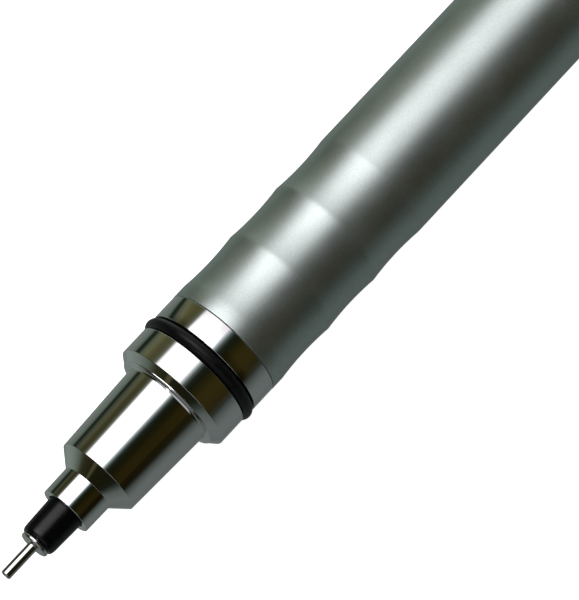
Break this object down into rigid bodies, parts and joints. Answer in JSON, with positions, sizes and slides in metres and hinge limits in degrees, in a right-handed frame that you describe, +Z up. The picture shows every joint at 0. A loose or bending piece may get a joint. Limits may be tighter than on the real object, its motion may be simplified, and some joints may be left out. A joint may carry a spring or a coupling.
{
  "type": "mechanical drafting pencil",
  "caption": "Lying mechanical drafting pencil with a self-turning lead, stepped chrome nose, black ring, scalloped metal grip, clip and push button.",
  "frame": {"origin": "on the surface that the pencil lies on, under the middle of its bounding box", "axes": "+X runs from the lead pipe's end to the push button, along the pencil's axis; +Z is up; the clip leans down towards -Y"},
  "size_m": [0.144, 0.0142, 0.0113],
  "materials": {
    "chrome_nose": "polished",
    "chrome_trim": "polished",
    "grip_aluminium": "satin, fine blasted grain",
    "barrel_aluminium": "satin, fine blasted grain",
    "ring_rubber": "matte",
    "black_plastic": "semi-gloss",
    "polished_steel": "polished",
    "spring_steel": "bright drawn wire",
    "brass": "turned, clean",
    "cam_plastic": "moulded, pale",
    "grey_plastic": "moulded, grey",
    "clear_plastic": "clear moulded plastic, smoke grey",
    "eraser_vinyl": "matte white",
    "graphite": "dark grey, slight sheen"
  },
  "bodies": {
    "barrel": {"nose_cone": "chrome_nose", "nose_o_ring": "ring_rubber", "grip": "grip_aluminium", "inner_sleeve": "grey_plastic", "window": "clear_plastic", "rear_barrel": "barrel_aluminium", "rear_collar": "chrome_trim", "cam_housing": "clear_plastic", "lower_cam": "cam_plastic", "upper_cam": "cam_plastic", "cushion_spring": "spring_steel", "spring_seat": "grey_plastic", "button_spring": "spring_steel"},
    "canceller": {"torque_canceller": "grey_plastic"},
    "rotor": {"rotor": "cam_plastic", "rotor_sleeve": "grey_plastic", "ring_stop": "brass", "chuck_spring": "spring_steel"},
    "chuck": {"chuck": "brass", "chuck_connector": "brass", "lead_tube": "grey_plastic", "spare_lead_1": "graphite", "spare_lead_2": "graphite"},
    "feed": {"chuck_ring": "brass", "lead": "graphite"},
    "slider": {"slider": "black_plastic", "lead_pipe": "polished_steel", "lead_retainer": "ring_rubber"},
    "button": {"push_rod": "grey_plastic", "eraser": "eraser_vinyl"},
    "cap": {"button_cap": "chrome_trim"},
    "clip": {"clip": "chrome_trim"}
  },
  "joints": [
    {"name": "writing_pressure", "type": "slide", "parent": "barrel", "child": "canceller", "axis": [1, 0, 0], "range_m": [0, 0.00025], "stiffness_N_per_m": 300, "springref_m": -0.0015, "deforming": ["cushion_spring"]},
    {"name": "rotor_turn", "type": "hinge", "parent": "canceller", "child": "rotor", "pos_m": [0.001, 0.00151, 0.00564], "axis": [1, 0, 0], "continuous": true},
    {"name": "chuck_slide", "type": "slide", "parent": "rotor", "child": "chuck", "axis": [-1, 0, 0], "range_m": [0, 0.0023], "deforming": ["chuck_spring"]},
    {"name": "lead_feed", "type": "slide", "parent": "rotor", "child": "feed", "axis": [-1, 0, 0], "range_m": [0, 0.0006]},
    {"name": "slider_push_in", "type": "slide", "parent": "rotor", "child": "slider", "axis": [1, 0, 0], "range_m": [0, 0.0028]},
    {"name": "button_press", "type": "slide", "parent": "barrel", "child": "button", "axis": [-1, 0, 0], "range_m": [0, 0.0023], "stiffness_N_per_m": 400, "springref_m": -0.004, "deforming": ["button_spring"]},
    {"name": "cap_pull", "type": "slide", "parent": "button", "child": "cap", "axis": [1, 0, 0], "range_m": [0, 0.009]},
    {"name": "clip_flex", "type": "hinge", "parent": "barrel", "child": "clip", "pos_m": [0.053, -0.00302, 0.00351], "axis": [0, -0.4249, 0.9052], "range_deg": [0, 5], "stiffness_Nm_per_rad": 2.2}
  ],
  "couplings": [
    {"joint": "chuck_slide", "follows": "button_press", "ratio": 1},
    {"joint": "lead_feed", "follows": "button_press", "ratio": 0.26086}
  ]
}
